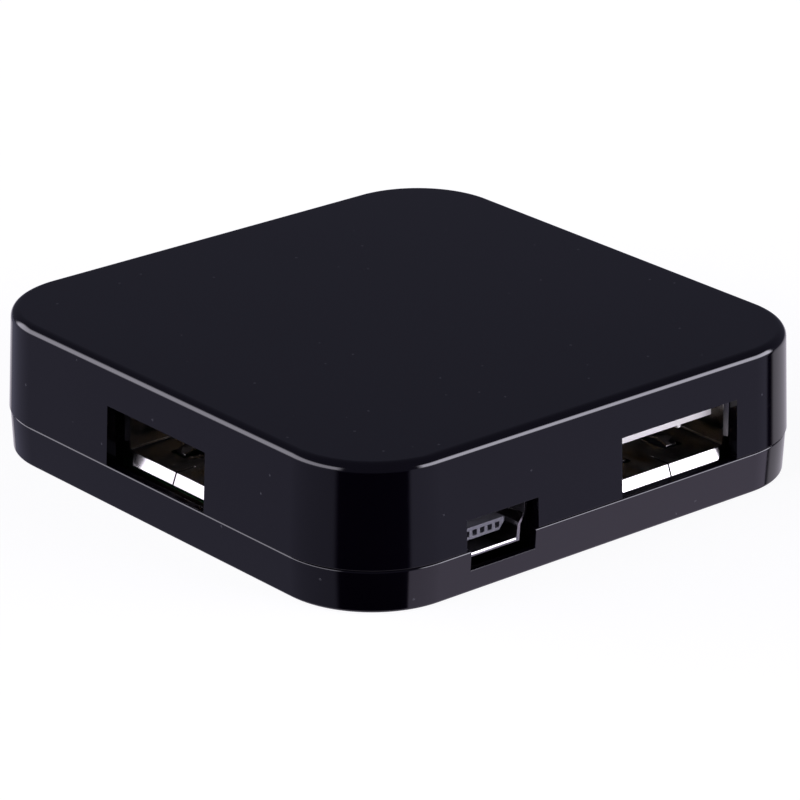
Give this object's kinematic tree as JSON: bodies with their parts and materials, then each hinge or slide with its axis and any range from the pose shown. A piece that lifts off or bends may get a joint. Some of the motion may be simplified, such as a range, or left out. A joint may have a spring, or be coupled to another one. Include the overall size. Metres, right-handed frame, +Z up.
{
  "type": "usb hub",
  "caption": "Low square plastic casing with rounded corners, USB-A sockets in its sides, a mini-B inlet, and a circuit board with its parts inside.",
  "frame": {"origin": "middle of the underside, where the hub stands", "axes": "+Z up through the flat top; -Y towards the front socket; +X towards the side with the mini-B inlet"},
  "size_m": [0.052, 0.052, 0.0127],
  "materials": {
    "casing": "glossy injection-moulded black with a faint violet cast",
    "tin": "bright tin-plated sheet steel",
    "white_plastic": "natural white moulded plastic",
    "grey_plastic": "grey moulded plastic",
    "gold": "gold-flashed spring strip",
    "laminate": "green solder mask over glass-epoxy laminate",
    "chip": "black moulded package with tinned leads",
    "can": "drawn metal can",
    "ceramic": "tan ceramic with tinned ends",
    "resistor": "black glazed film with tinned ends",
    "fuse": "green-coated polymer with tinned ends"
  },
  "bodies": {
    "root": {"top_shell": "casing", "bottom_shell": "casing", "circuit_board": "laminate", "hub_controller": "chip", "crystal": "can", "bulk_capacitor_1": "can", "bulk_capacitor_2": "can", "resettable_fuse": "fuse", "ceramic_capacitor_1": "ceramic", "ceramic_capacitor_2": "ceramic", "ceramic_capacitor_3": "ceramic", "ceramic_capacitor_4": "ceramic", "resistor_1": "resistor", "resistor_2": "resistor", "resistor_3": "resistor", "resistor_4": "resistor", "mini_b_shell": "tin", "mini_b_insulator": "grey_plastic", "mini_b_contact_1": "gold", "mini_b_contact_2": "gold", "mini_b_contact_3": "gold", "mini_b_contact_4": "gold", "mini_b_contact_5": "gold", "usb_a_front_shell": "tin", "usb_a_front_insulator": "white_plastic", "usb_a_front_contact_1": "gold", "usb_a_front_contact_2": "gold", "usb_a_front_contact_3": "gold", "usb_a_front_contact_4": "gold", "usb_a_right_shell": "tin", "usb_a_right_insulator": "white_plastic", "usb_a_right_contact_1": "gold", "usb_a_right_contact_2": "gold", "usb_a_right_contact_3": "gold", "usb_a_right_contact_4": "gold", "usb_a_back_shell": "tin", "usb_a_back_insulator": "white_plastic", "usb_a_back_contact_1": "gold", "usb_a_back_contact_2": "gold", "usb_a_back_contact_3": "gold", "usb_a_back_contact_4": "gold", "usb_a_left_shell": "tin", "usb_a_left_insulator": "white_plastic", "usb_a_left_contact_1": "gold", "usb_a_left_contact_2": "gold", "usb_a_left_contact_3": "gold", "usb_a_left_contact_4": "gold"}
  },
  "joints": []
}
